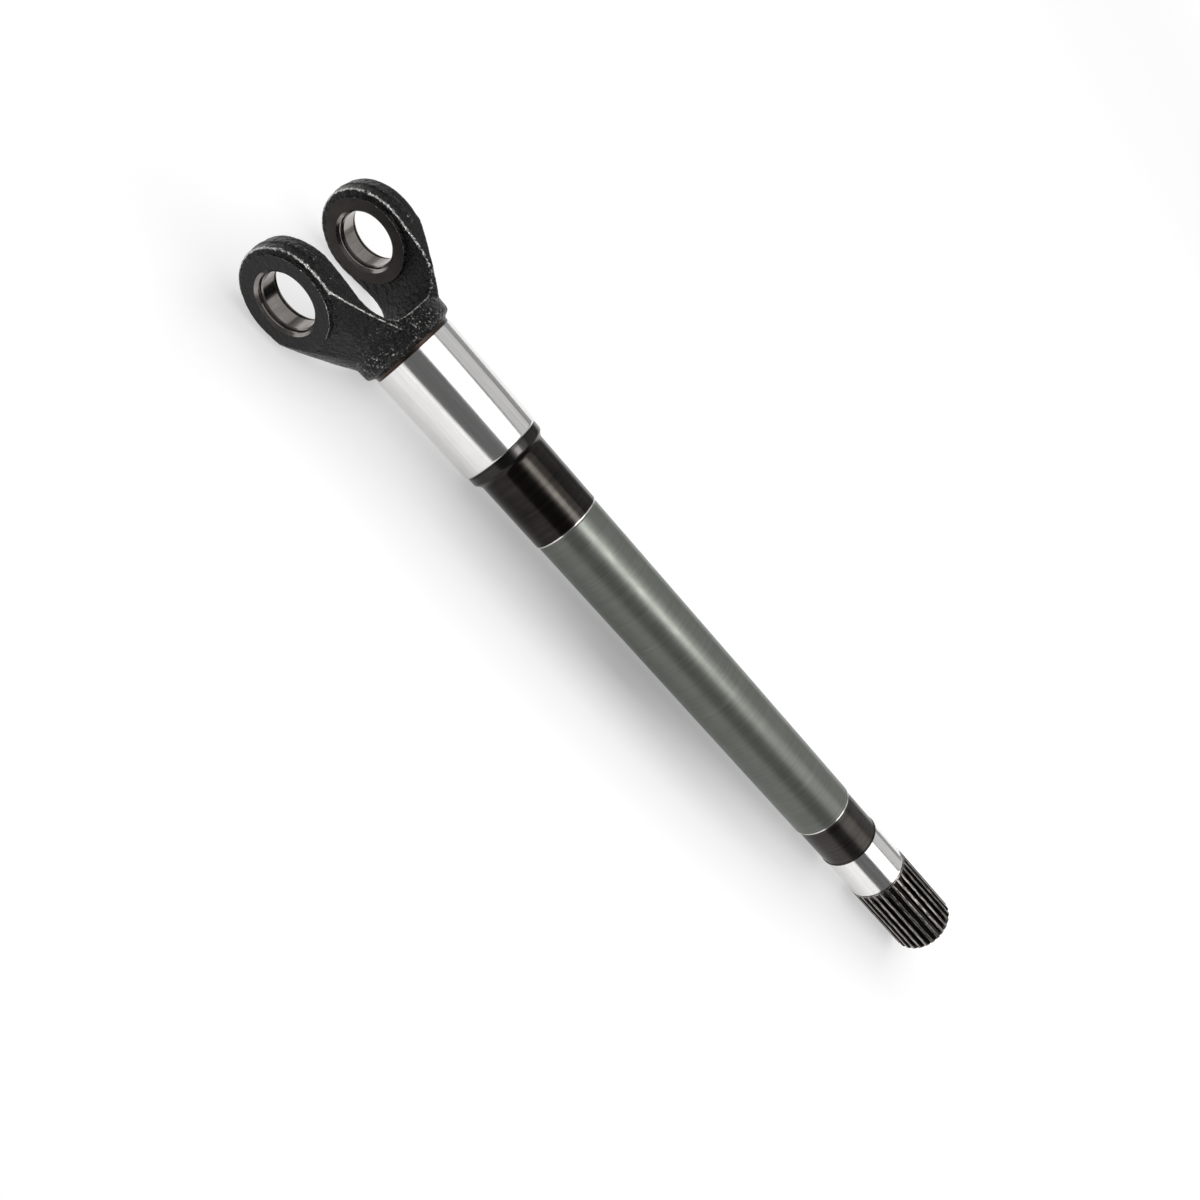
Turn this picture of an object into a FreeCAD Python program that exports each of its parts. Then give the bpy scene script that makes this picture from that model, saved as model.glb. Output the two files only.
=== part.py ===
"""Fork shaft of a double universal joint: one forging with two eared bores,
a ground journal, turned and ground shaft sections and a splined end.

X runs along the shaft from the joint centre to the splined end, Y is the
axis of the two ear bores, Z completes the frame. Millimetres.
"""
import math
import os

import FreeCAD
import Part

# Ears and their bores
cup_diameter = 30.0
ear_outer_face = 44.0
ear_inner_face = 26.5
ear_radius = 27.5
boss_height = 1.6
outer_boss_radius = 23.0
inner_boss_radius = 23.5
ear_rounding = 1.6
ring_groove_diameter = cup_diameter + 3.6
ring_groove_width = 1.7
ring_land_diameter = cup_diameter + 1.6
ring_land_width = 0.6
mouth_diameter = cup_diameter + 4.4
mouth_depth = (mouth_diameter - ring_land_diameter) / 2
bore_edge_chamfer = 0.6
parting_rise = 0.5
parting_width = 2.4
parting_end = 9.0

# Fork body between the ears and the shaft
arm_straight_end = 11.0
arm_root_half_height = 22.5
collar_radius = 28.5
neck_drop = 3.5
neck_start = 38.0
neck_half_width = collar_radius - neck_drop
saddle_floor = 41.0
saddle_floor_half_width = 8.0
gap_straight_end = 20.0
arm_bulge = 1.8
shoulder_radius = 53.0
shoulder_bulge = 2.2
collar_start = 45.0
collar_end = 52.5
collar_rounding = 3.0
valley_rounding = 4.0
seal_fall_rounding = 2.5
centre_recess_radius = 9.0
centre_recess_depth = 1.2
centre_hole_radius = 2.2
centre_hole_depth = 6.0

# Shaft sections, given by diameter and by where each one ends
journal_start = 56.0
relief_diameter = 48.6
journal_diameter = 50.0
journal_end = 124.3
seal_land_diameter = 48.0
seal_land_end = 130.0
seal_land_fall_end = 133.5
upper_turned_diameter = 42.8
upper_turned_end = 179.3
long_diameter = 41.6
long_end = 432.0
lower_turned_diameter = 40.2
lower_turned_end = 463.6
stop_ridge_rise = 0.35
stop_ridge_width = 1.2
pilot_diameter = 40.0
pilot_end = 494.3
journal_chamfer = 1.2
step_chamfer = 1.2

# Splined end
tooth_count = 27
spline_diameter = 41.4
tooth_depth = 2.7
spline_end = 554.5
spline_runout = 9.0
spline_end_chamfer = 2.6
spline_shoulder = 2.0
crest_share = 0.36
root_share = 0.30


def revolve(points, along=FreeCAD.Vector(1, 0, 0), origin=FreeCAD.Vector(0, 0, 0)):
    """Turn a closed outline, given as vectors, fully round an axis."""
    wire = Part.makePolygon(points + [points[0]])
    return Part.Face(wire).revolve(origin, along, 360)


def shaft_outline():
    """Half section of everything turned on the lathe, base collar included."""
    r = {
        "relief": relief_diameter / 2,
        "journal": journal_diameter / 2,
        "seal": seal_land_diameter / 2,
        "upper": upper_turned_diameter / 2,
        "long": long_diameter / 2,
        "lower": lower_turned_diameter / 2,
        "pilot": pilot_diameter / 2,
        "spline": spline_diameter / 2,
    }
    return [
        (neck_start, 0),
        (neck_start, neck_half_width),
        (collar_start, collar_radius),
        (collar_end, collar_radius),
        (collar_end + 1.5, r["relief"]),
        (journal_start, r["relief"]),
        (journal_start + 0.4, r["journal"]),
        (journal_end - journal_chamfer, r["journal"]),
        (journal_end, r["seal"]),
        (seal_land_end, r["seal"]),
        (seal_land_end + 1.0, r["seal"] - 0.8),
        (seal_land_fall_end, r["upper"]),
        (upper_turned_end, r["upper"]),
        (upper_turned_end + step_chamfer, r["long"]),
        (long_end, r["long"]),
        (long_end + step_chamfer, r["lower"]),
        (lower_turned_end - stop_ridge_width, r["lower"]),
        (lower_turned_end - stop_ridge_width, r["lower"] + stop_ridge_rise),
        (lower_turned_end, r["lower"] + stop_ridge_rise),
        (lower_turned_end, r["pilot"]),
        (pilot_end, r["pilot"]),
        (pilot_end + 1.0, r["spline"]),
        (spline_end - spline_end_chamfer, r["spline"]),
        (spline_end, r["spline"] - spline_end_chamfer),
        (spline_end, 0),
    ]


def round_ring(body, x, radius, rounding):
    """Round the one turned edge that lies at x and has this radius."""
    ring = [e for e in body.Edges
            if e.BoundBox.XLength < 1e-6 and abs(e.BoundBox.XMin - x) < 1e-6
            and abs(e.BoundBox.ZMax - radius) < 1e-3]
    return body.makeFillet(rounding, ring)


def make_shaft():
    """The turned body, with the collar and the shaft's shoulders rounded."""
    body = revolve([FreeCAD.Vector(x, r, 0) for x, r in shaft_outline()])
    body = round_ring(body, collar_end, collar_radius, collar_rounding)
    body = round_ring(body, collar_start, collar_radius, valley_rounding)
    return round_ring(body, seal_land_fall_end, upper_turned_diameter / 2, seal_fall_rounding)


def ear_outline(grow=0.0):
    """One ear seen along the bore axis, running back into the collar; grow fades out there."""
    radius = ear_radius + grow
    end = collar_start
    half = arm_root_half_height
    # the flank leaves the round ear as its tangent and meets the collar's neck
    reach = math.hypot(end, half)
    lean = math.atan2(half, end) + math.acos(radius / reach)
    tx, tz = radius * math.cos(lean), radius * math.sin(lean)
    top = FreeCAD.Vector(tx, 0, tz)
    bottom = FreeCAD.Vector(tx, 0, -tz)
    edges = [
        Part.Arc(top, FreeCAD.Vector(-radius, 0, 0), bottom).toShape(),
        Part.makeLine(bottom, FreeCAD.Vector(end, 0, -half)),
        Part.makeLine(FreeCAD.Vector(end, 0, -half), FreeCAD.Vector(end, 0, half)),
        Part.makeLine(FreeCAD.Vector(end, 0, half), top),
    ]
    return Part.Face(Part.Wire(edges))


def gap_side(hand):
    """Round wall of the gap, from the saddle floor out to where the arm's inside runs straight."""
    web_in = ear_inner_face + boss_height
    run = saddle_floor - gap_straight_end
    drop = web_in - saddle_floor_half_width
    radius = (run ** 2 + drop ** 2) / (2 * drop)
    centre_y = web_in - radius
    foot_angle = math.atan2(saddle_floor_half_width - centre_y, run)
    middle = (foot_angle + math.pi / 2) / 2
    v = FreeCAD.Vector
    return Part.Arc(v(saddle_floor, hand * saddle_floor_half_width, 0),
                    v(gap_straight_end + radius * math.cos(middle),
                      hand * (centre_y + radius * math.sin(middle)), 0),
                    v(gap_straight_end, hand * web_in, 0)).toShape()


def arm_outline():
    """Side view of the fork: two arms that lean in to the collar, with the gap."""
    web_out = ear_outer_face - boss_height
    web_in = ear_inner_face + boss_height
    tip = -ear_radius - 2
    v = FreeCAD.Vector
    foot = v(collar_start + 2, collar_radius - 1.5, 0)
    middle = (v(arm_straight_end, web_out, 0) + foot) * 0.5
    outer_bulge = middle + v(arm_bulge * 0.4, arm_bulge, 0)
    edges = [
        Part.makeLine(v(tip, web_in, 0), v(tip, web_out, 0)),
        Part.makeLine(v(tip, web_out, 0), v(arm_straight_end, web_out, 0)),
        Part.Arc(v(arm_straight_end, web_out, 0), outer_bulge, foot).toShape(),
        Part.makeLine(foot, v(foot.x, 0, 0)),
        Part.makeLine(v(foot.x, 0, 0), v(saddle_floor, 0, 0)),
        Part.makeLine(v(saddle_floor, 0, 0), v(saddle_floor, saddle_floor_half_width, 0)),
        gap_side(1),
        Part.makeLine(v(gap_straight_end, web_in, 0), v(tip, web_in, 0)),
    ]
    return Part.Face(Part.Wire(edges))


def make_arm():
    """The arm on the +Y side, rounded where the forging die rounds it."""
    depth = 2 * ear_radius + 10
    side = arm_outline().extrude(FreeCAD.Vector(0, 0, depth))
    side.translate(FreeCAD.Vector(0, 0, -depth / 2))
    width = ear_outer_face + 4
    front = ear_outline().extrude(FreeCAD.Vector(0, width, 0))
    arm = round_ear_edges(side.common(front))
    return arm.common(make_shoulder_cone())


def round_ear_edges(arm):
    """Round both rims of the ear and the flanks behind them."""
    picked = []
    for edge in arm.Edges:
        box = edge.BoundBox
        flank = box.ZLength > 3 or abs(edge.CenterOfMass.z) > neck_half_width - 3
        ends_low = box.XMax < collar_start - 0.5 or box.XLength > 20
        across = box.YLength > 12 and box.XLength < 1
        if flank and ends_low and not across and box.XMin < 30 and box.YMin > 10:
            picked.append(edge)
    return arm.makeFillet(ear_rounding, picked)


def make_shoulder_cone():
    """The round cone that the arms' corners follow from the ears down to the collar."""
    v = FreeCAD.Vector
    tip = -ear_radius - 2
    spread = (shoulder_radius - collar_radius) / collar_start
    wide = v(tip, shoulder_radius - spread * tip, 0)
    foot = v(collar_start, collar_radius, 0)
    crown = (wide + foot) * 0.5 + v(0, shoulder_bulge, 0)
    edges = [
        Part.makeLine(v(tip, 0, 0), wide),
        Part.Arc(wide, crown, foot).toShape(),
        Part.makeLine(foot, v(foot.x + 5, collar_radius, 0)),
        Part.makeLine(v(foot.x + 5, collar_radius, 0), v(foot.x + 5, 0, 0)),
        Part.makeLine(v(foot.x + 5, 0, 0), v(tip, 0, 0)),
    ]
    return Part.Face(Part.Wire(edges)).revolve(v(0, 0, 0), v(1, 0, 0), 360)


def make_parting_land():
    """The narrow trimmed ridge that the forging dies leave round an ear."""
    middle = (ear_outer_face + ear_inner_face) / 2
    land = ear_outline(parting_rise).extrude(FreeCAD.Vector(0, parting_width, 0))
    land.translate(FreeCAD.Vector(0, middle - parting_width / 2, 0))
    side = 4 * ear_radius
    kept = Part.makeBox(side, side, side, FreeCAD.Vector(parting_end - side, 0, -side / 2))
    return land.common(kept)


def make_bosses():
    """Round raised faces outside and inside the ear."""
    outer = Part.makeCylinder(outer_boss_radius, boss_height + 2,
                              FreeCAD.Vector(0, ear_outer_face - boss_height - 2, 0),
                              FreeCAD.Vector(0, 1, 0))
    inner = Part.makeCylinder(inner_boss_radius, boss_height + 2,
                              FreeCAD.Vector(0, ear_inner_face, 0), FreeCAD.Vector(0, 1, 0))
    outer = outer.makeFillet(1.0, [e for e in outer.Edges if e.CenterOfMass.y > ear_outer_face - 0.1])
    inner = inner.makeFillet(0.6, [e for e in inner.Edges if e.CenterOfMass.y < ear_inner_face + 0.1])
    return outer.fuse(inner)


def bore_outline():
    """Half section of one ear bore: mouth, ring land, ring groove, cup bore, and back out."""
    cup = cup_diameter / 2
    land = ring_land_diameter / 2
    groove = ring_groove_diameter / 2
    mouth = mouth_diameter / 2
    inner, outer = ear_inner_face, ear_outer_face
    near = inner + mouth_depth
    far = outer - mouth_depth
    a = near + ring_land_width
    b = a + ring_groove_width
    d = far - ring_land_width
    c = d - ring_groove_width
    return [
        (inner - 3, 0), (inner - 3, mouth), (inner, mouth), (near, land), (a, land),
        (a, groove), (b, groove), (b, cup + bore_edge_chamfer), (b + bore_edge_chamfer, cup),
        (c - bore_edge_chamfer, cup), (c, cup + bore_edge_chamfer), (c, groove), (d, groove),
        (d, land), (far, land), (outer, mouth), (outer + 3, mouth), (outer + 3, 0),
    ]


def make_bore_cutter():
    """Everything that the boring bar takes out of one ear."""
    return revolve([FreeCAD.Vector(r, y, 0) for y, r in bore_outline()],
                   along=FreeCAD.Vector(0, 1, 0))


def mirrored(shape):
    """The same shape on the other side of the fork's middle plane."""
    return shape.mirror(FreeCAD.Vector(0, 0, 0), FreeCAD.Vector(0, 1, 0))


def make_gap_cutter():
    """Space between the arms above the saddle, right through the fork."""
    web_in = ear_inner_face + boss_height
    far = -2 * ear_radius
    v = FreeCAD.Vector
    edges = [
        Part.makeLine(v(far, -web_in, 0), v(far, web_in, 0)),
        Part.makeLine(v(far, web_in, 0), v(gap_straight_end, web_in, 0)),
        gap_side(1),
        Part.makeLine(v(saddle_floor, saddle_floor_half_width, 0),
                      v(saddle_floor, -saddle_floor_half_width, 0)),
        gap_side(-1),
        Part.makeLine(v(gap_straight_end, -web_in, 0), v(far, -web_in, 0)),
    ]
    depth = 4 * ear_radius
    gap = Part.Face(Part.Wire(edges)).extrude(v(0, 0, depth))
    gap.translate(v(0, 0, -depth / 2))
    return gap


def make_centre_recess():
    """Shallow round recess in the saddle with the lathe centre hole in it."""
    along = FreeCAD.Vector(1, 0, 0)
    top = saddle_floor - 1
    recess = Part.makeCylinder(centre_recess_radius, centre_recess_depth + 1,
                               FreeCAD.Vector(top, 0, 0), along)
    floor = saddle_floor + centre_recess_depth
    hole = Part.makeCylinder(centre_hole_radius, centre_hole_depth,
                             FreeCAD.Vector(floor - 0.5, 0, 0), along)
    cone = Part.makeCone(centre_hole_radius + 1.6, centre_hole_radius - 0.2, 1.8,
                         FreeCAD.Vector(floor, 0, 0), along)
    return recess.fuse([hole, cone])


def tooth_space():
    """One space between two spline teeth, from the end face to its run-out."""
    pitch = 2 * math.pi / tooth_count
    crest = spline_diameter / 2
    root = crest - tooth_depth
    at_crest = pitch * (1 - crest_share) / 2
    at_root = pitch * root_share / 2
    over = crest + 1.5
    at_over = at_crest + (over - crest) * (at_crest - at_root) / tooth_depth

    def section(x, lift):
        pts = []
        for r, a in ((over, -at_over), (root + lift, -at_root), (root + lift, at_root), (over, at_over)):
            pts.append(FreeCAD.Vector(x, r * math.sin(a), r * math.cos(a)))
        return Part.makePolygon(pts + [pts[0]])

    start = pilot_end + spline_shoulder
    straight = Part.makeLoft([section(start + spline_runout, 0), section(spline_end + 1, 0)], True)
    runout = Part.makeLoft([section(start, tooth_depth + 0.2), section(start + spline_runout, 0)], True)
    return straight.fuse(runout)


def cut_spline(body):
    """Cut every tooth space round the end of the shaft."""
    spaces = []
    first = tooth_space()
    for i in range(tooth_count):
        space = first.copy()
        space.rotate(FreeCAD.Vector(0, 0, 0), FreeCAD.Vector(1, 0, 0), 360.0 * i / tooth_count)
        spaces.append(space)
    return body.cut(spaces)


def make_fork_shaft():
    """The whole forging, machined."""
    arm = make_arm()
    body = make_shaft().fuse([arm, mirrored(arm)]).removeSplitter()
    body = body.cut(make_gap_cutter())
    extras = []
    for shape in (make_parting_land(), make_bosses()):
        extras += [shape, mirrored(shape)]
    body = body.fuse(extras)
    bore = make_bore_cutter()
    body = body.cut([bore, mirrored(bore), make_centre_recess()])
    body = cut_spline(body)
    return body.removeSplitter()


os.makedirs("parts", exist_ok=True)
fork_shaft = make_fork_shaft()
fork_shaft.exportStep("parts/fork_shaft.step")
print("solids", len(fork_shaft.Solids), "valid", fork_shaft.isValid(),
      "mass kg", round(fork_shaft.Volume * 7.85e-6, 3))
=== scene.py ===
"""Fork shaft of a double universal joint, dressed for its picture.

X runs along the shaft from the joint centre to the splined end, Y is the axis
of the two ear bores, Z is up. Sizes are in millimetres, as on the drawing, and
MM turns them into metres. Places of lamps, the camera and the table's light
are in metres.
"""

import math

import bpy
import numpy as np
from mathutils import Euler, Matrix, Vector


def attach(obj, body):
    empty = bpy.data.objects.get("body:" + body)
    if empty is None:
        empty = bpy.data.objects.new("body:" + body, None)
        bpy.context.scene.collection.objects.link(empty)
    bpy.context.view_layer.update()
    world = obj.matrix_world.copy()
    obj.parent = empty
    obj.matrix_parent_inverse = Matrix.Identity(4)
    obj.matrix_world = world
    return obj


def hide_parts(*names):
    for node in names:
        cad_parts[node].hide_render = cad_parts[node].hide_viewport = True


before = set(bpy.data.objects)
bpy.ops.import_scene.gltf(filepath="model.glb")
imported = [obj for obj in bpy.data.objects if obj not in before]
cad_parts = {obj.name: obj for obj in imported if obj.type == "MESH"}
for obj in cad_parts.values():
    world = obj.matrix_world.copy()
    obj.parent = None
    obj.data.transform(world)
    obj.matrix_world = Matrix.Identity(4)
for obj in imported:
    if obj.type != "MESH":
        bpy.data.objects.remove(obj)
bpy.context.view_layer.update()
MM = 0.001

# The fork. A hot forging with black scale on it: two ears, two arms and the
# collar that the shaft grows out of. It is pressed in dies, trimmed and
# blasted, which leaves a grainy skin, soft corners and a trim line.
FORK_END = 55.2
EAR_INNER_FACE = 26.5
EAR_OUTER_FACE = 44.0
INNER_BOSS = 23.4
OUTER_BOSS = 24.4
BOSS_STEP = 35.0
FORGED_ALLOWANCE = 0.45
SKIN_GRAIN = 0.56
WELD = 0.002


def start_fresh():
    """Nothing selected and nothing in edit mode."""
    if bpy.context.mode != "OBJECT":
        bpy.ops.object.mode_set(mode="OBJECT")
    bpy.ops.object.select_all(action="DESELECT")


def take(piece):
    """Pick up one piece to work on."""
    start_fresh()
    piece.select_set(True)
    bpy.context.view_layer.objects.active = piece


def work(piece, kind, **settings):
    """Give the piece a modifier and make its result permanent."""
    take(piece)
    tool = piece.modifiers.new(kind.lower(), kind)
    for name, value in settings.items():
        setattr(tool, name, value)
    bpy.ops.object.modifier_apply(modifier=tool.name)


def turned(name, outline, along="X", steps=192):
    """A lathe-turned solid: stations and radii drawn as an outline and spun round the axis."""
    start_fresh()
    bpy.ops.mesh.primitive_plane_add(size=MM)
    piece = bpy.context.object
    piece.name = piece.data.name = name
    bpy.ops.object.mode_set(mode="EDIT")
    bpy.ops.mesh.select_all(action="SELECT")
    bpy.ops.mesh.merge(type="CENTER")
    here = None
    for station, radius in outline:
        there = Vector((station, 0, radius) if along == "X" else (radius, station, 0)) * MM
        if here is None:
            bpy.ops.transform.translate(value=there)
        else:
            bpy.ops.mesh.extrude_region_move(TRANSFORM_OT_translate={"value": there - here})
        here = there
    bpy.ops.mesh.select_all(action="SELECT")
    axis = (1, 0, 0) if along == "X" else (0, 1, 0)
    bpy.ops.mesh.spin(steps=steps, angle=2 * math.pi, center=(0, 0, 0), axis=axis)
    bpy.ops.mesh.select_all(action="SELECT")
    bpy.ops.mesh.remove_doubles(threshold=WELD * MM)
    bpy.ops.mesh.normals_make_consistent(inside=False)
    bpy.ops.object.mode_set(mode="OBJECT")
    return piece


def full_boss(hand):
    """One ear's boss before boring, thicker by what the machining takes off again."""
    low = hand * (EAR_INNER_FACE - FORGED_ALLOWANCE)
    step = hand * BOSS_STEP
    high = hand * (EAR_OUTER_FACE + FORGED_ALLOWANCE)
    return turned("boss", [(low, 0), (low, INNER_BOSS), (step, INNER_BOSS), (step, OUTER_BOSS),
                           (high, OUTER_BOSS), (high, 0)], along="Y", steps=96)


def fork_blank():
    """The fork as it leaves the dies, cut off where the shaft is turned, its bores still full."""
    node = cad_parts["fork_shaft"]
    blank = node.copy()
    blank.data = node.data.copy()
    blank.name = blank.data.name = "forged_fork"
    bpy.context.scene.collection.objects.link(blank)
    take(blank)
    bpy.ops.object.mode_set(mode="EDIT")
    bpy.ops.mesh.select_all(action="SELECT")
    bpy.ops.mesh.remove_doubles(threshold=WELD * MM)
    bpy.ops.mesh.bisect(plane_co=(FORK_END * MM, 0, 0), plane_no=(1, 0, 0),
                        use_fill=True, clear_outer=True)
    bpy.ops.object.mode_set(mode="OBJECT")
    bosses = [full_boss(hand) for hand in (1, -1)]
    take(blank)
    for boss in bosses:
        boss.select_set(True)
    bpy.ops.object.join()
    return blank


def cloud(name, size):
    """A soft lumpy pattern for moving a surface in and out."""
    pattern = bpy.data.textures.new(name, "CLOUDS")
    pattern.noise_scale = size * MM
    pattern.noise_depth = 2
    return pattern


def mark_edges(piece):
    """Write on each point how sharply the skin turns there, in 1/mm, for wear to follow."""
    mesh = piece.data
    count = len(mesh.vertices)
    spots, facing = np.empty(count * 3), np.empty(count * 3)
    mesh.vertices.foreach_get("co", spots)
    mesh.vertices.foreach_get("normal", facing)
    spots, facing = spots.reshape(-1, 3) / MM, facing.reshape(-1, 3)
    ends = np.empty(len(mesh.edges) * 2, dtype=int)
    mesh.edges.foreach_get("vertices", ends)
    a, b = ends.reshape(-1, 2).T
    around = np.bincount(a, minlength=count) + np.bincount(b, minlength=count)
    step = spots[b] - spots[a]
    per_length = 2 / np.maximum((step ** 2).sum(1), 1e-6)
    turn = np.bincount(a, -(step * facing[a]).sum(1) * per_length, count)
    turn += np.bincount(b, (step * facing[b]).sum(1) * per_length, count)
    turn /= around
    for _ in range(2):
        nearby = (np.bincount(a, turn[b], count) + np.bincount(b, turn[a], count)) / around
        turn = 0.4 * turn + 0.6 * nearby
    mesh.attributes.new("edge_turn", "FLOAT", "POINT").data.foreach_set("value", turn)


def blank_material(name):
    """An empty node material with its shader."""
    made = bpy.data.materials.new(name)
    made.use_nodes = True
    return made, made.node_tree.nodes, made.node_tree.links, made.node_tree.nodes["Principled BSDF"]


def shared_effect(name, takes, gives):
    """An empty node group with its named inputs and outputs."""
    group = bpy.data.node_groups.new(name, "ShaderNodeTree")
    for way, sockets in (("INPUT", takes), ("OUTPUT", gives)):
        for label, kind in sockets.items():
            group.interface.new_socket(label, in_out=way, socket_type="NodeSocket" + kind)
    nodes = group.nodes
    return group, nodes, group.links, nodes.new("NodeGroupInput"), nodes.new("NodeGroupOutput")


def add(nodes, kind, **settings):
    """A node with its settings; names with an underscore in front are its sockets."""
    node = nodes.new(kind)
    for name, value in settings.items():
        if name.startswith("_"):
            node.inputs[name[1:].replace("_", " ")].default_value = value
        else:
            setattr(node, name, value)
    return node


def spots_of(nodes, links, place, scale, detail=3.0, roughness=0.6):
    """Uneven natural spots, about as many to the metre as the scale says."""
    made = add(nodes, "ShaderNodeTexNoise", _Scale=scale, _Detail=detail, _Roughness=roughness)
    links.new(place, made.inputs["Vector"])
    return made.outputs["Fac"]


def ramp(nodes, links, source, stops):
    """A mask turned into greys or colours, by its stops."""
    made = nodes.new("ShaderNodeValToRGB")
    bar = made.color_ramp
    while len(bar.elements) < len(stops):
        bar.elements.new(0.5)
    for element, (place, colour) in zip(bar.elements, stops):
        element.position = place
        element.color = (*colour, 1) if isinstance(colour, tuple) else (colour, colour, colour, 1)
    links.new(source, made.inputs[0])
    return made.outputs[0]


def join(nodes, links, operation, first, second):
    """Two masks, or a mask and a number, worked into one."""
    made = nodes.new("ShaderNodeMath")
    made.operation = operation
    for socket, source in zip(made.inputs, (first, second)):
        if isinstance(source, float):
            socket.default_value = source
        else:
            links.new(source, socket)
    return made.outputs[0]


def lay_over(nodes, links, mask, below, bare_colour):
    """Bare metal laid over a colour where the mask says."""
    made = add(nodes, "ShaderNodeMix", data_type="RGBA")
    links.new(mask, made.inputs["Factor"])
    links.new(below, made.inputs["A"])
    made.inputs["B"].default_value = (*bare_colour, 1)
    return made.outputs["Result"]


def forging_scale_group():
    """Shared effect: grainy black scale, chipped bright on edges, and in flecks on the collar."""
    group, nodes, links, entry, result = shared_effect(
        "forging_scale", {"Edge Turn": "Float", "Worn From": "Float"},
        {"Colour": "Color", "Bare Metal": "Float", "Patches": "Float", "Pebbles": "Float",
         "Grain": "Float"})
    place = add(nodes, "ShaderNodeTexCoord").outputs["Object"]
    grain = spots_of(nodes, links, place, 1250.0)
    lumps = spots_of(nodes, links, place, 380.0)
    patches = spots_of(nodes, links, place, 120.0)
    chips = spots_of(nodes, links, place, 620.0, roughness=0.7)
    scale = ramp(nodes, links, grain, [(0.36, (0.0015, 0.0015, 0.0016)),
                                       (0.6, (0.005, 0.005, 0.0052)), (0.78, (0.04, 0.039, 0.037))])

    past = join(nodes, links, "SUBTRACT", entry.outputs["Edge Turn"], entry.outputs["Worn From"])
    corner = ramp(nodes, links, past, [(0.0, 0.0), (0.08, 1.0)])
    ridge = ramp(nodes, links, past, [(0.1, 0.0), (0.15, 0.9)])
    chipped = ramp(nodes, links, chips, [(0.52, 0.0), (0.6, 1.0)])
    edge = join(nodes, links, "MULTIPLY", corner, join(nodes, links, "MAXIMUM", chipped, ridge))

    station = nodes.new("ShaderNodeSeparateXYZ")
    links.new(place, station.inputs["Vector"])
    collar = ramp(nodes, links, join(nodes, links, "MULTIPLY", station.outputs["X"], 10.0),
                  [(0.34, 0.0), (0.46, 1.0)])
    flecks = ramp(nodes, links, spots_of(nodes, links, place, 800.0, detail=2.0),
                  [(0.6, 0.0), (0.66, 0.7)])
    blasted = join(nodes, links, "MULTIPLY", collar,
                   ramp(nodes, links, patches, [(0.42, 0.1), (0.56, 1.0)]))
    worn = join(nodes, links, "MAXIMUM", edge,
                join(nodes, links, "MULTIPLY", flecks, blasted))

    coarser = join(nodes, links, "ADD", join(nodes, links, "MULTIPLY", collar, 0.8), 1.0)
    for label, source in (
            ("Colour", lay_over(nodes, links, worn, scale, (0.72, 0.7, 0.68))),
            ("Bare Metal", join(nodes, links, "MULTIPLY", worn, 0.9)),
            ("Patches", patches),
            ("Pebbles", join(nodes, links, "MULTIPLY", lumps, coarser)),
            ("Grain", grain)):
        links.new(source, result.inputs[label])
    return group


FORGING_SCALE = forging_scale_group()


def forged_skin(name, rough_low, rough_high, pebble_depth, worn_from):
    """Black forging scale, its edges worn from that sharpness on."""
    made, nodes, links, shader = blank_material(name)
    skin = add(nodes, "ShaderNodeGroup", node_tree=FORGING_SCALE)
    skin.inputs["Worn From"].default_value = worn_from
    turn = add(nodes, "ShaderNodeAttribute", attribute_name="edge_turn")
    links.new(turn.outputs["Fac"], skin.inputs["Edge Turn"])
    links.new(skin.outputs["Colour"], shader.inputs["Base Color"])
    links.new(skin.outputs["Bare Metal"], shader.inputs["Metallic"])
    links.new(ramp(nodes, links, skin.outputs["Patches"], [(0.3, rough_low), (0.7, rough_high)]),
              shader.inputs["Roughness"])
    pebbles = add(nodes, "ShaderNodeBump", _Strength=1.0, _Distance=pebble_depth)
    links.new(skin.outputs["Pebbles"], pebbles.inputs["Height"])
    fine = add(nodes, "ShaderNodeBump", _Strength=0.8, _Distance=0.0002)
    links.new(skin.outputs["Grain"], fine.inputs["Height"])
    links.new(pebbles.outputs["Normal"], fine.inputs["Normal"])
    links.new(fine.outputs["Normal"], shader.inputs["Normal"])
    shader.inputs["Specular IOR Level"].default_value = 0.26
    return made


fork = fork_blank()
work(fork, "REMESH", mode="VOXEL", voxel_size=SKIN_GRAIN * MM, use_smooth_shade=True)
work(fork, "SMOOTH", factor=0.5, iterations=2)
mark_edges(fork)
work(fork, "DISPLACE", texture=cloud("dents", 7), texture_coords="LOCAL",
     strength=0.34 * MM, mid_level=0.5)
work(fork, "DISPLACE", texture=cloud("scale_lumps", 1.7), texture_coords="LOCAL",
     strength=0.26 * MM, mid_level=0.5)
fork.data.materials.clear()
fork.data.materials.append(forged_skin("forged_scale", 0.2, 0.34, 0.0024, worn_from=0.19))

# The machined places of the fork. The boss faces are spot-faced square to the
# bores, then each ear is bored, grooved for its retaining ring and given a
# bevelled mouth, so the cuts are crisp where they break through the skin.
BORE = 15.0
RING_LAND = 15.8
RING_GROOVE = 16.8
MOUTH = 17.2
SPOT_FACE = 24.2
MOUTH_DEPTH = 1.4
GROOVE_NEAR, GROOVE_FAR = 2.0, 3.7
LEAD_IN = 0.6


def tool_lines_group():
    """Shared effect: the lines that a cutting tool or a grinding wheel leaves, and faint stains."""
    group, nodes, links, entry, result = shared_effect(
        "tool_lines", {"Lines per Metre": "Vector"}, {"Lines": "Float", "Stains": "Float"})
    place = add(nodes, "ShaderNodeTexCoord").outputs["Object"]
    stretch = nodes.new("ShaderNodeMapping")
    links.new(place, stretch.inputs["Vector"])
    links.new(entry.outputs["Lines per Metre"], stretch.inputs["Scale"])
    lines = spots_of(nodes, links, stretch.outputs["Vector"], 1.0, detail=4.0, roughness=0.7)
    links.new(lines, result.inputs["Lines"])
    links.new(spots_of(nodes, links, place, 55.0, detail=4.0), result.inputs["Stains"])
    return group


TOOL_LINES = tool_lines_group()


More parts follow.
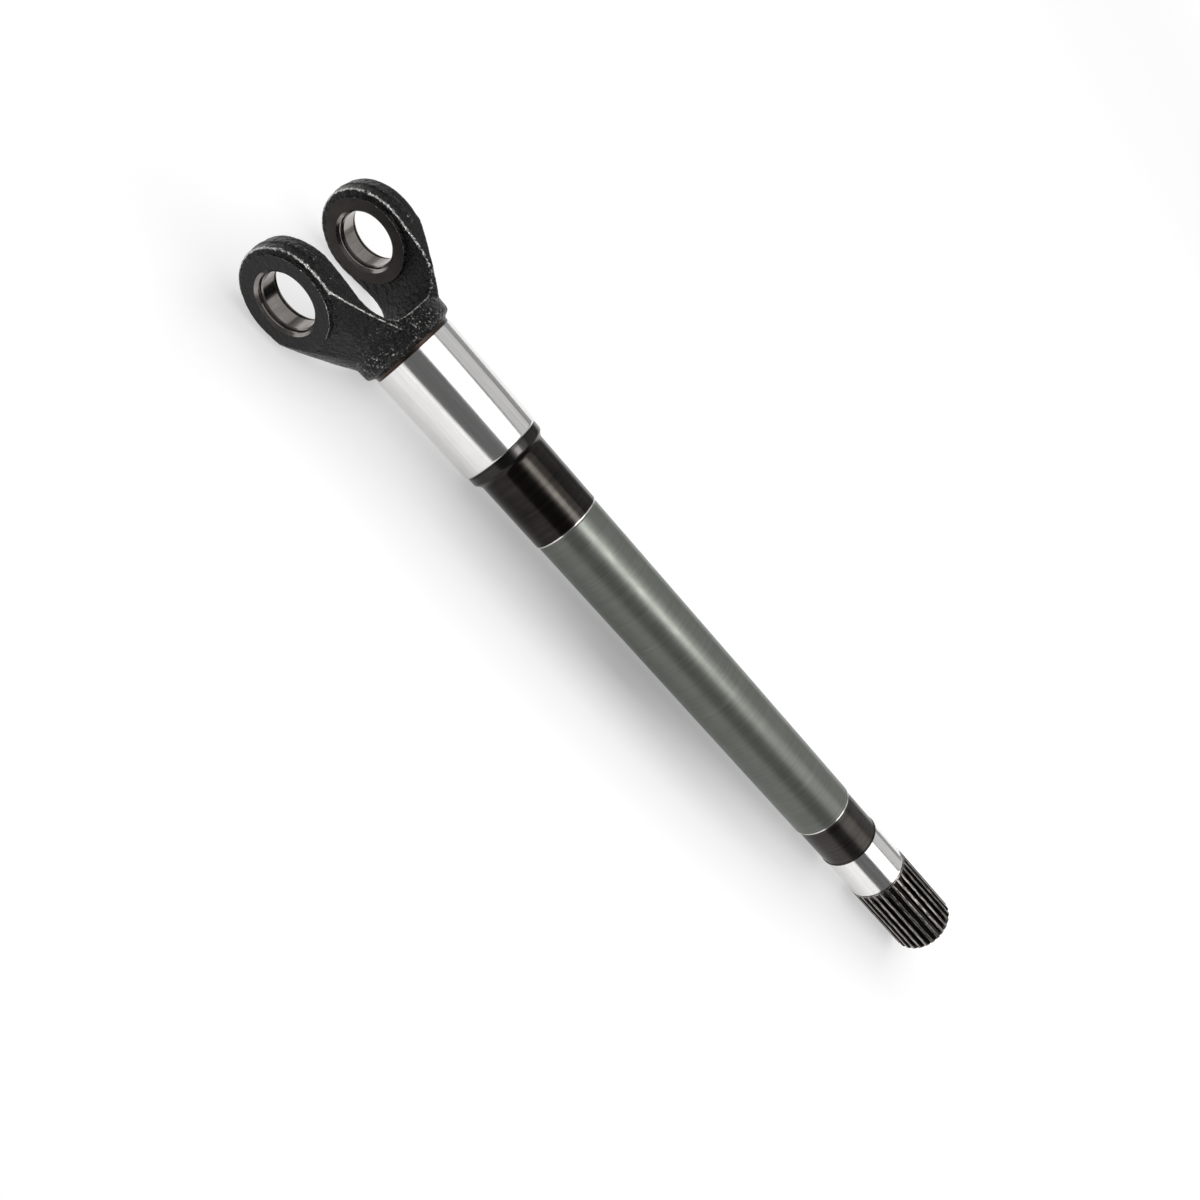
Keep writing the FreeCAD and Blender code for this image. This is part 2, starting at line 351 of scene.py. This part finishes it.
def machined(name, colour, roughness, metallic, lines_per_metre, depth=0.00002, tint=0.12,
             stain=0.1):
    """Machined steel: fine tool lines and faint stains in colour, gloss and height."""
    made, nodes, links, shader = blank_material(name)
    marks = add(nodes, "ShaderNodeGroup", node_tree=TOOL_LINES)
    marks.inputs["Lines per Metre"].default_value = lines_per_metre
    lines, stains = marks.outputs["Lines"], marks.outputs["Stains"]
    dark, light = (tuple(c * (1 + side * tint) for c in colour) for side in (-1, 1))
    stained = add(nodes, "ShaderNodeMix", data_type="RGBA", blend_type="MULTIPLY")
    stained.inputs["Factor"].default_value = 1.0
    links.new(ramp(nodes, links, lines, [(0.3, dark), (0.7, light)]), stained.inputs["A"])
    links.new(ramp(nodes, links, stains, [(0.35, 1.0), (0.7, 1 - stain)]), stained.inputs["B"])
    links.new(stained.outputs["Result"], shader.inputs["Base Color"])
    both = join(nodes, links, "ADD", join(nodes, links, "MULTIPLY", lines, 0.5),
                join(nodes, links, "MULTIPLY", stains, 0.5))
    links.new(ramp(nodes, links, both, [(0.35, roughness * 0.8), (0.65, roughness * 1.2)]),
              shader.inputs["Roughness"])
    bump = add(nodes, "ShaderNodeBump", _Strength=0.4, _Distance=depth)
    links.new(lines, bump.inputs["Height"])
    links.new(bump.outputs["Normal"], shader.inputs["Normal"])
    shader.inputs["Metallic"].default_value = metallic
    return made


def drum(name, radius, low, high):
    """A plain round cutter on the bore axis."""
    return turned(name, [(low, 0), (low, radius), (high, radius), (high, 0)], along="Y", steps=128)


def boring_bar(hand):
    """A cutter with one ear's mouths, ring lands, ring grooves and bore, alike from both faces."""
    in_from_face = [(-3, 0), (-3, MOUTH), (0, MOUTH), (MOUTH_DEPTH, RING_LAND),
                    (GROOVE_NEAR, RING_LAND), (GROOVE_NEAR, RING_GROOVE),
                    (GROOVE_FAR, RING_GROOVE), (GROOVE_FAR, BORE + LEAD_IN),
                    (GROOVE_FAR + LEAD_IN, BORE)]
    outline = [(hand * (EAR_INNER_FACE + depth), radius) for depth, radius in in_from_face]
    outline += [(hand * (EAR_OUTER_FACE - depth), radius) for depth, radius in in_from_face[::-1]]
    return turned("boring_bar", outline, along="Y")


def cut(piece, cutter, finish):
    """Machine the cutter's shape out of the piece, and leave that finish on the cut."""
    cutter.data.materials.clear()
    for material in piece.data.materials:
        cutter.data.materials.append(material)
    slot = piece.data.materials.find(finish)
    for face in cutter.data.polygons:
        face.material_index = slot
        face.use_smooth = True
    work(piece, "BOOLEAN", object=cutter, operation="DIFFERENCE", solver="MANIFOLD")
    bpy.data.meshes.remove(cutter.data)


for finish in (
        machined("machined_face", (0.036, 0.032, 0.029), 0.3, 0.9, (70, 900, 70), tint=0.25),
        machined("bored_steel", (0.34, 0.315, 0.295), 0.2, 1.0, (260, 24, 260), tint=0.25,
                 stain=0.3),
        forged_skin("forged_face", 0.26, 0.4, 0.0005, worn_from=0.8)):
    fork.data.materials.append(finish)
cut(fork, drum("spot_face", SPOT_FACE, -EAR_INNER_FACE, EAR_INNER_FACE), "machined_face")
for hand in (1, -1):
    cut(fork, drum("outer_face", 40.0, hand * EAR_OUTER_FACE, hand * (EAR_OUTER_FACE + 4)),
        "forged_face")
    cut(fork, boring_bar(hand), "bored_steel")
take(fork)
bpy.ops.object.shade_smooth_by_angle(angle=math.radians(32))
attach(fork, "root")
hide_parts("fork_shaft")

# The shaft. The same forging, turned and ground between centres: relief, bearing
# journal, seal land with its rounded fall, turned sections, the long phosphated
# middle, the stop ridge, the ground pilot, and the core that the spline is cut in.
SHAFT_OUTLINE = [
    (50.0, 0), (50.0, 24.0), (53.2, 24.0), (53.6, 24.3), (56.0, 24.3), (56.4, 24.9),
    (57.0, 25.0), (123.1, 25.0), (123.9, 24.7), (124.4, 24.1),
    (124.6, 23.7), (125.3, 23.7), (125.5, 24.0), (129.4, 24.0), (130.3, 23.8), (131.0, 23.2),
    (132.4, 22.0), (133.6, 21.5), (135.2, 21.4), (178.7, 21.4), (179.4, 21.35),
    (180.3, 20.8), (430.9, 20.8), (431.8, 20.7),
    (432.6, 20.1), (461.8, 20.1), (462.3, 20.1), (462.5, 20.45), (463.4, 20.45), (463.6, 20.1),
    (463.7, 20.0), (494.3, 20.0), (494.9, 20.5), (495.5, 20.7), (496.3, 20.7),
    (505.3, 18.0), (554.0, 18.0), (554.5, 17.5), (554.5, 4.2), (553.5, 3.2), (546.0, 2.2),
    (545.0, 0),
]
shaft = turned("splined_shaft", SHAFT_OUTLINE, steps=216)

# The spline. Teeth hobbed straight into the end of the shaft, hardened black,
# and rubbed bright on their crests by the gear that slides on them. They run
# out into the shoulder and are chamfered at the free end.
TEETH = 27
TOOTH_START, TOOTH_END = 496.5, 554.5
ROOT, CREST = 17.0, 20.7
CREST_HALF_WIDTH = 0.87
ROOT_TO_CREST_WIDTH = 1.95
END_CHAMFER = 2.6
TOOTH_EDGE = 0.22


def spline_teeth():
    """One tooth, tapered from root to crest and chamfered at its end, spun into the full set."""
    start_fresh()
    bpy.ops.mesh.primitive_cube_add(size=2 * MM)
    tooth = bpy.context.object
    tooth.name = tooth.data.name = "spline_teeth"
    bpy.ops.object.mode_set(mode="EDIT")
    bpy.ops.mesh.select_all(action="SELECT")
    bpy.ops.transform.resize(
        value=((TOOTH_END - TOOTH_START) / 2, CREST_HALF_WIDTH, (CREST - ROOT) / 2),
        center_override=(0, 0, 0))
    bpy.ops.transform.translate(
        value=((TOOTH_START + TOOTH_END) / 2 * MM, 0, (CREST + ROOT) / 2 * MM))
    bpy.ops.mesh.select_all(action="DESELECT")
    bpy.ops.object.mode_set(mode="OBJECT")
    for corner in tooth.data.vertices:
        corner.select = corner.co.z < (ROOT + 1) * MM
    bpy.ops.object.mode_set(mode="EDIT")
    bpy.ops.transform.resize(value=(1, ROOT_TO_CREST_WIDTH, 1), center_override=(0, 0, 0))
    bpy.ops.mesh.select_all(action="SELECT")
    bpy.ops.mesh.bisect(plane_co=((TOOTH_END - END_CHAMFER) * MM, 0, CREST * MM),
                        plane_no=(1, 0, 1), use_fill=True, clear_outer=True)
    bpy.ops.object.mode_set(mode="OBJECT")
    work(tooth, "BEVEL", width=TOOTH_EDGE * MM, segments=3, limit_method="ANGLE",
         angle_limit=math.radians(25))
    take(tooth)
    bpy.ops.object.mode_set(mode="EDIT")
    bpy.ops.mesh.select_all(action="SELECT")
    bpy.ops.mesh.spin(steps=TEETH - 1, dupli=True, angle=2 * math.pi * (TEETH - 1) / TEETH,
                      center=(0, 0, 0), axis=(1, 0, 0))
    bpy.ops.mesh.select_all(action="SELECT")
    bpy.ops.mesh.normals_make_consistent(inside=False)
    bpy.ops.object.mode_set(mode="OBJECT")
    return tooth


def spline_steel():
    """Black hardened teeth, rubbed bright in patches where they stand highest."""
    made = machined("spline_black", (0.028, 0.025, 0.022), 0.26, 0.95, (40, 900, 900), stain=0.4)
    nodes, links = made.node_tree.nodes, made.node_tree.links
    place = add(nodes, "ShaderNodeTexCoord").outputs["Object"]
    across = add(nodes, "ShaderNodeMapping", _Scale=(0, 1000, 1000))
    links.new(place, across.inputs["Vector"])
    radius = add(nodes, "ShaderNodeVectorMath", operation="LENGTH")
    links.new(across.outputs["Vector"], radius.inputs[0])
    above = join(nodes, links, "SUBTRACT", radius.outputs["Value"], 20.0)
    along = add(nodes, "ShaderNodeMapping", _Location=(-8.92, 45, 45), _Scale=(178.4, 1800, 1800))
    links.new(place, along.inputs["Vector"])
    patches = ramp(nodes, links, spots_of(nodes, links, along.outputs["Vector"], 1.0),
                   [(0.42, 0.1), (0.58, 1.0)])
    rubbed = join(nodes, links, "MULTIPLY",
                  ramp(nodes, links, above, [(0.6, 0.0), (0.72, 1.0)]), patches)
    base = nodes["Principled BSDF"].inputs["Base Color"]
    links.new(lay_over(nodes, links, rubbed, base.links[0].from_socket, (0.48, 0.45, 0.41)), base)
    return made


# The finishes along the shaft. Each length has its own, from the fork to the
# free end: ground bright where something runs on it, black or brown from
# turning and hardening, and grey-green where the phosphate coat was left on.
ZONES = [
    (56.0, machined("turned_relief", (0.05, 0.034, 0.025), 0.3, 0.9, (900, 40, 40), tint=0.3)),
    (124.2, machined("ground_journal", (0.8, 0.79, 0.785), 0.15, 1.0, (10, 420, 420),
                     depth=0.000008, tint=0.08, stain=0.06)),
    (129.9, machined("seal_land", (0.04, 0.038, 0.036), 0.2, 0.95, (900, 30, 30), tint=0.2)),
    (178.7, machined("black_turned", (0.026, 0.023, 0.0205), 0.2, 0.95, (420, 18, 18), tint=0.3,
                     stain=0.35)),
    (179.4, machined("bright_ring", (0.8, 0.78, 0.75), 0.2, 1.0, (900, 60, 60))),
    (430.9, machined("grey_phosphate", (0.142, 0.152, 0.132), 0.34, 0.5, (640, 16, 16),
                     depth=0.00008, tint=0.14)),
    (431.8, machined("bright_shoulder", (0.8, 0.78, 0.75), 0.2, 1.0, (900, 60, 60))),
    (463.65, machined("brown_turned", (0.05, 0.0455, 0.0415), 0.28, 0.95, (760, 25, 25), tint=0.3)),
    (494.6, machined("ground_pilot", (0.82, 0.81, 0.805), 0.15, 1.0, (10, 420, 420),
                     depth=0.000008, tint=0.08, stain=0.05)),
    (600.0, spline_steel()),
]
teeth = spline_teeth()
for piece in (shaft, teeth):
    piece.data.materials.clear()
    for end, finish in ZONES:
        piece.data.materials.append(finish)
for face in shaft.data.polygons:
    face.material_index = sum(face.center.x >= end * MM for end, finish in ZONES)
for face in teeth.data.polygons:
    face.material_index = len(ZONES) - 1
work(shaft, "BOOLEAN", object=teeth, operation="UNION", solver="MANIFOLD")
bpy.data.meshes.remove(teeth.data)
take(shaft)
bpy.ops.object.shade_smooth_by_angle(angle=math.radians(30))
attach(shaft, "root")
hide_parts("fork_shaft")

# The table. A wide plain white board that glows softly, tilted by less than a
# degree so that the part lies on its collar and its spline. Its glow is weaker
# near the part, where the lamps light it most, and stronger far off, so that it
# looks evenly white. In a long strip under the part the glow is cut down: a
# painted shadow of the part.
COLLAR_REST = Vector((50.0, 0, -28.5)) * MM
SPLINE_REST = Vector((551.0, 0, -20.7)) * MM
CLEARANCE = Vector((0, 0, 0.3)) * MM
start_fresh()
bpy.ops.mesh.primitive_grid_add(x_subdivisions=8, y_subdivisions=8, size=60)
table = bpy.context.object
table.name = "table"
run = SPLINE_REST - COLLAR_REST
table.rotation_euler = Euler((0, -math.atan2(run.z, run.x), 0))
table.location = COLLAR_REST - CLEARANCE
bpy.ops.object.transform_apply(location=True, rotation=True, scale=True)


def pool(nodes, links, location, scale, stops):
    """A soft round or long pool of light or shade on the table."""
    place = add(nodes, "ShaderNodeMapping", _Location=location, _Scale=scale)
    links.new(add(nodes, "ShaderNodeTexCoord").outputs["Object"], place.inputs["Vector"])
    fall = add(nodes, "ShaderNodeTexGradient", gradient_type="SPHERICAL")
    links.new(place.outputs["Vector"], fall.inputs["Vector"])
    return ramp(nodes, links, fall.outputs["Fac"], stops)


white, nodes, links, shader = blank_material("white_table")
shader.inputs["Base Color"].default_value = (0.47, 0.47, 0.47, 1)
shader.inputs["Roughness"].default_value = 0.9
shader.inputs["Specular IOR Level"].default_value = 0.1
shader.inputs["Emission Strength"].default_value = 1.0
# Glow weaker round the part and stronger far off, to keep the board evenly white.
even_glow = pool(nodes, links, (-0.1, 0, 0), (0.25, 0.25, 0.25),
                 [(0.0, 0.95), (0.45, 0.85), (0.8, 0.66), (1.0, 0.62)])
# Painted shadow: the glow drops to under a third in a long strip under the shaft.
painted_shadow_strip = pool(nodes, links, (-0.675, 0.34, 0), (2.5, 13.5, 0),
                  [(0.0, 1.0), (0.5, 0.78), (1.0, 0.3)])
links.new(join(nodes, links, "MULTIPLY", even_glow, painted_shadow_strip), shader.inputs["Emission Color"])
table.data.materials.append(white)


# The studio. One wide soft light overhead with a hotter patch in it, a low
# light and two cards that the polished metal mirrors as grey bands, and dim
# walls, white only where the camera sees past the table.
def soft_light(name, place, aim, size, radiance, mirrored=True, lights=True):
    """A flat studio lamp, given by how bright its face is."""
    lamp = bpy.data.lights.new(name, "AREA")
    lamp.shape = "RECTANGLE"
    lamp.size, lamp.size_y = size
    lamp.energy = radiance * math.pi * size[0] * size[1]
    holder = bpy.data.objects.new(name, lamp)
    bpy.context.scene.collection.objects.link(holder)
    holder.location = place
    holder.rotation_euler = (Vector(aim) - Vector(place)).to_track_quat("-Z", "Y").to_euler()
    holder.visible_glossy = mirrored
    holder.visible_diffuse = lights
    holder.visible_camera = False


soft_light("overhead", (0.8, -0.14, 1.3), (0.8, -0.14, 0), (2.9, 1.22), 1.5)
soft_light("hot_panel", (0.64, -0.3, 1.28), (0.64, -0.3, 0), (0.62, 0.4), 9.0, lights=False)
soft_light("right_fill", (0.5, 1.08, 1.04), (0.5, 0, 0), (3.5, 1.15), 0.5)
soft_light("right_card", (0.4, 0.5, 0.0), (0.4, 0, 0), (2.4, 0.38), 0.2, lights=False)
soft_light("front_card", (0.4, -1.7, 0.08), (0.3, 0, 0.08), (4.0, 0.3), 0.85, lights=False)
soft_light("key", (0.5, 1.2, 1.6), (0.3, 0, 0), (1.4, 1.0), 2.0, mirrored=False)

world = bpy.data.worlds.new("dim_room")
bpy.context.scene.world = world
world.use_nodes = True
nodes, links = world.node_tree.nodes, world.node_tree.links
walls = ramp(nodes, links, nodes.new("ShaderNodeLightPath").outputs["Is Camera Ray"],
             [(0.0, 0.14), (1.0, 0.98)])
links.new(walls, nodes["Background"].inputs["Color"])
bpy.context.scene.view_settings.view_transform = "Standard"

# The camera. It stands 0.4 m above the near ear's side of the fork and 0.4 m
# out from it, and looks down along the shaft.
eye = bpy.data.cameras.new("camera")
eye.sensor_width = 36
eye.lens = 30.786
eye.clip_start = 0.01
camera = bpy.data.objects.new("camera", eye)
bpy.context.scene.collection.objects.link(camera)
camera.location = (0.03849, -0.39688, 0.39591)
camera.rotation_euler = Euler([math.radians(a) for a in (22.926, -41.768, 31.522)])
bpy.context.scene.camera = camera
